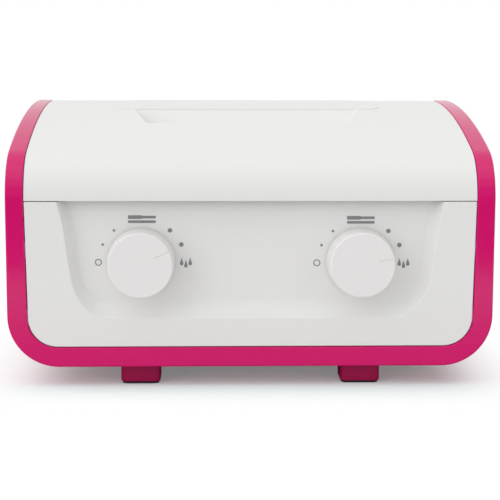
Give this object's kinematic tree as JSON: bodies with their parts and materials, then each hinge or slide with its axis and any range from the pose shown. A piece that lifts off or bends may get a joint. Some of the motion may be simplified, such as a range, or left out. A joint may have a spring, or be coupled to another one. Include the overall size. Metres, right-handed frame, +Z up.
{
  "type": "double wax warmer",
  "caption": "Tabletop wax heater with a curved hinged lid over heating wells with lift-out pots, turning knobs in a sunk front field, hollow cheeks and rubber feet.",
  "frame": {"origin": "middle of the bounding box, on the table under the foot pads", "axes": "+X to the right seen from the front, +Y from the front to the rear, +Z up"},
  "size_m": [0.341, 0.256, 0.1934],
  "materials": {
    "rose_shell": "glossy, lightly rounded edges",
    "pearl_shell": "satin to glossy",
    "pearl_inner": "satin",
    "knob_plastic": "satin to glossy",
    "cast_alloy": "fine turned",
    "steel": "bright",
    "rubber": "matte",
    "silicone": "matte",
    "mica_band": "matte",
    "wool": "fibrous",
    "copper": "bright",
    "wire_jacket": "satin",
    "ceramic": "glazed"
  },
  "bodies": {
    "root": {"outer_shell": "rose_shell", "left_cheek_liner": "pearl_inner", "right_cheek_liner": "pearl_inner", "front_panel": "pearl_shell", "rear_panel": "pearl_shell", "inner_deck": "pearl_inner", "heat_shield": "steel", "lid_bumpers": "rubber", "hinge_pin_left": "steel", "hinge_pin_right": "steel", "well_left": "cast_alloy", "well_right": "cast_alloy", "well_nuts": "steel", "well_gasket_left": "silicone", "well_gasket_right": "silicone", "heater_band_left": "mica_band", "heater_band_right": "mica_band", "insulation_left": "wool", "insulation_right": "wool", "thermostat_left": "steel", "thermostat_right": "steel", "shaft_nut_left": "steel", "shaft_nut_right": "steel", "sensor_left": "copper", "sensor_right": "copper", "thermal_fuse_left": "steel", "thermal_fuse_right": "steel", "terminal_block": "ceramic", "cord_gland": "rubber", "wiring_left": "wire_jacket", "wiring_right": "wire_jacket", "foot_front_left": "rose_shell", "foot_front_right": "rose_shell", "foot_rear_left": "rose_shell", "foot_rear_right": "rose_shell", "foot_pad_front_left": "rubber", "foot_pad_front_right": "rubber", "foot_pad_rear_left": "rubber", "foot_pad_rear_right": "rubber", "foot_screws": "steel", "deck_screws": "steel", "front_panel_screws": "steel", "rear_panel_screws": "steel", "liner_screws": "steel", "heat_shield_screws": "steel"},
    "lid": {"lid": "pearl_shell", "lid_handle": "pearl_shell", "lid_handle_screws": "steel"},
    "knob_left": {"knob_left": "knob_plastic", "thermostat_shaft_left": "steel", "knob_clip_left": "steel"},
    "knob_right": {"knob_right": "knob_plastic", "thermostat_shaft_right": "steel", "knob_clip_right": "steel"},
    "pot_left": {"pot_left": "cast_alloy", "pot_ears_left": "cast_alloy"},
    "pot_right": {"pot_right": "cast_alloy", "pot_ears_right": "cast_alloy"},
    "bail_left": {"pot_bail_left": "steel"},
    "bail_right": {"pot_bail_right": "steel"}
  },
  "joints": [
    {"name": "lid_hinge", "type": "hinge", "parent": "root", "child": "lid", "pos_m": [0, 0.1238, 0.131], "axis": [-1, 0, 0], "range_deg": [0, 95]},
    {"name": "knob_left_turn", "type": "hinge", "parent": "root", "child": "knob_left", "pos_m": [-0.077, -0.1165, 0.0876], "axis": [0, -1, 0], "range_deg": [-24, 152]},
    {"name": "knob_right_turn", "type": "hinge", "parent": "root", "child": "knob_right", "pos_m": [0.077, -0.1165, 0.0876], "axis": [0, -1, 0], "range_deg": [-10, 166]},
    {"name": "pot_left_lift", "type": "slide", "parent": "root", "child": "pot_left", "axis": [0, 0, 1], "range_m": [0, 0.036]},
    {"name": "pot_right_lift", "type": "slide", "parent": "root", "child": "pot_right", "axis": [0, 0, 1], "range_m": [0, 0.036]},
    {"name": "bail_left_swing", "type": "hinge", "parent": "pot_left", "child": "bail_left", "pos_m": [-0.076, 0.0215, 0.1232], "axis": [1, 0, 0], "range_deg": [0, 90]},
    {"name": "bail_right_swing", "type": "hinge", "parent": "pot_right", "child": "bail_right", "pos_m": [0.076, 0.0215, 0.1232], "axis": [1, 0, 0], "range_deg": [0, 90]}
  ]
}
